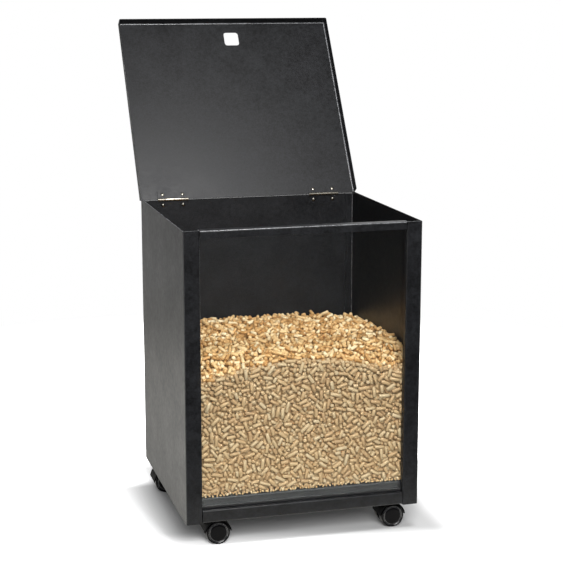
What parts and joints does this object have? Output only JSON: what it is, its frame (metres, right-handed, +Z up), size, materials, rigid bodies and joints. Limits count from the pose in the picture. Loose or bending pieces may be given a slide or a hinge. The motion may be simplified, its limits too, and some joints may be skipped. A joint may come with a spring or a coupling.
{
  "type": "pellet storage box",
  "caption": "Upright sheet-steel bin on twin-wheel casters, with a clear front window and a hinged lid with a finger hole, that holds loose wood fuel pellets.",
  "frame": {"origin": "middle of the ground under the whole object with its lid open", "axes": "+Z up, -Y out of the window, +X to the right of someone who faces the window"},
  "size_m": [0.4064, 0.5694, 0.8487],
  "materials": {
    "black_powder_coat": "fine-textured black powder coat on folded sheet steel",
    "grey_powder_coat": "dark grey powder coat on the inner steel pieces",
    "clear_glass": "clear flat glass",
    "black_rubber": "matt black rubber strip",
    "wood_pellet": "pressed softwood pellets, pale yellow-brown",
    "zinc_steel": "bright zinc-plated steel",
    "black_plastic": "glossy black nylon"
  },
  "bodies": {
    "cabinet": {"left_side_panel": "black_powder_coat", "right_side_panel": "black_powder_coat", "back_panel": "black_powder_coat", "front_top_rail": "black_powder_coat", "front_bottom_rail": "black_powder_coat", "floor_panel": "grey_powder_coat", "left_pane_retainer": "grey_powder_coat", "right_pane_retainer": "grey_powder_coat", "left_caster_rail": "grey_powder_coat", "right_caster_rail": "grey_powder_coat", "window_pane": "clear_glass", "window_seal": "black_rubber", "pellet_load": "wood_pellet", "left_hinge_body_leaf": "zinc_steel", "left_hinge_pin": "zinc_steel", "right_hinge_body_leaf": "zinc_steel", "right_hinge_pin": "zinc_steel", "left_outer_body_rivet": "zinc_steel", "left_inner_body_rivet": "zinc_steel", "right_outer_body_rivet": "zinc_steel", "right_inner_body_rivet": "zinc_steel", "front_left_caster_stem": "zinc_steel", "front_left_caster_nut": "zinc_steel", "front_right_caster_stem": "zinc_steel", "front_right_caster_nut": "zinc_steel", "rear_left_caster_stem": "zinc_steel", "rear_left_caster_nut": "zinc_steel", "rear_right_caster_stem": "zinc_steel", "rear_right_caster_nut": "zinc_steel"},
    "lid": {"lid_panel": "black_powder_coat", "left_hinge_lid_leaf": "zinc_steel", "right_hinge_lid_leaf": "zinc_steel", "left_outer_lid_rivet": "zinc_steel", "left_inner_lid_rivet": "zinc_steel", "right_outer_lid_rivet": "zinc_steel", "right_inner_lid_rivet": "zinc_steel"},
    "front_left_caster": {"front_left_caster_housing": "black_plastic", "front_left_caster_axle": "zinc_steel"},
    "front_left_front_wheel": {"front_left_caster_front_wheel": "black_plastic"},
    "front_left_rear_wheel": {"front_left_caster_rear_wheel": "black_plastic"},
    "front_right_caster": {"front_right_caster_housing": "black_plastic", "front_right_caster_axle": "zinc_steel"},
    "front_right_front_wheel": {"front_right_caster_front_wheel": "black_plastic"},
    "front_right_rear_wheel": {"front_right_caster_rear_wheel": "black_plastic"},
    "rear_left_caster": {"rear_left_caster_housing": "black_plastic", "rear_left_caster_axle": "zinc_steel"},
    "rear_left_front_wheel": {"rear_left_caster_front_wheel": "black_plastic"},
    "rear_left_rear_wheel": {"rear_left_caster_rear_wheel": "black_plastic"},
    "rear_right_caster": {"rear_right_caster_housing": "black_plastic", "rear_right_caster_axle": "zinc_steel"},
    "rear_right_front_wheel": {"rear_right_caster_front_wheel": "black_plastic"},
    "rear_right_rear_wheel": {"rear_right_caster_rear_wheel": "black_plastic"}
  },
  "joints": [
    {"name": "lid_hinge", "type": "hinge", "parent": "cabinet", "child": "lid", "pos_m": [0, 0.08128, 0.53143], "axis": [1, 0, 0], "range_deg": [0, 123]},
    {"name": "front_left_swivel", "type": "hinge", "parent": "cabinet", "child": "front_left_caster", "pos_m": [-0.153, -0.23772, 0.01983], "axis": [0, 0, 1], "continuous": true},
    {"name": "front_left_front_wheel_spin", "type": "hinge", "parent": "front_left_caster", "child": "front_left_front_wheel", "pos_m": [-0.141, -0.23772, 0.01983], "axis": [0, 1, 0], "continuous": true},
    {"name": "front_left_rear_wheel_spin", "type": "hinge", "parent": "front_left_caster", "child": "front_left_rear_wheel", "pos_m": [-0.141, -0.23772, 0.01983], "axis": [0, 1, 0], "continuous": true},
    {"name": "front_right_swivel", "type": "hinge", "parent": "cabinet", "child": "front_right_caster", "pos_m": [0.153, -0.23772, 0.01983], "axis": [0, 0, 1], "continuous": true},
    {"name": "front_right_front_wheel_spin", "type": "hinge", "parent": "front_right_caster", "child": "front_right_front_wheel", "pos_m": [0.165, -0.23772, 0.01983], "axis": [0, 1, 0], "continuous": true},
    {"name": "front_right_rear_wheel_spin", "type": "hinge", "parent": "front_right_caster", "child": "front_right_rear_wheel", "pos_m": [0.165, -0.23772, 0.01983], "axis": [0, 1, 0], "continuous": true},
    {"name": "rear_left_swivel", "type": "hinge", "parent": "cabinet", "child": "rear_left_caster", "pos_m": [-0.163, 0.03828, 0.01983], "axis": [0, 0, 1], "continuous": true},
    {"name": "rear_left_front_wheel_spin", "type": "hinge", "parent": "rear_left_caster", "child": "rear_left_front_wheel", "pos_m": [-0.175, 0.03828, 0.01983], "axis": [0, 1, 0], "continuous": true},
    {"name": "rear_left_rear_wheel_spin", "type": "hinge", "parent": "rear_left_caster", "child": "rear_left_rear_wheel", "pos_m": [-0.175, 0.03828, 0.01983], "axis": [0, 1, 0], "continuous": true},
    {"name": "rear_right_swivel", "type": "hinge", "parent": "cabinet", "child": "rear_right_caster", "pos_m": [0.163, 0.03828, 0.01983], "axis": [0, 0, 1], "continuous": true},
    {"name": "rear_right_front_wheel_spin", "type": "hinge", "parent": "rear_right_caster", "child": "rear_right_front_wheel", "pos_m": [0.151, 0.03828, 0.01983], "axis": [0, 1, 0], "continuous": true},
    {"name": "rear_right_rear_wheel_spin", "type": "hinge", "parent": "rear_right_caster", "child": "rear_right_rear_wheel", "pos_m": [0.151, 0.03828, 0.01983], "axis": [0, 1, 0], "continuous": true}
  ]
}
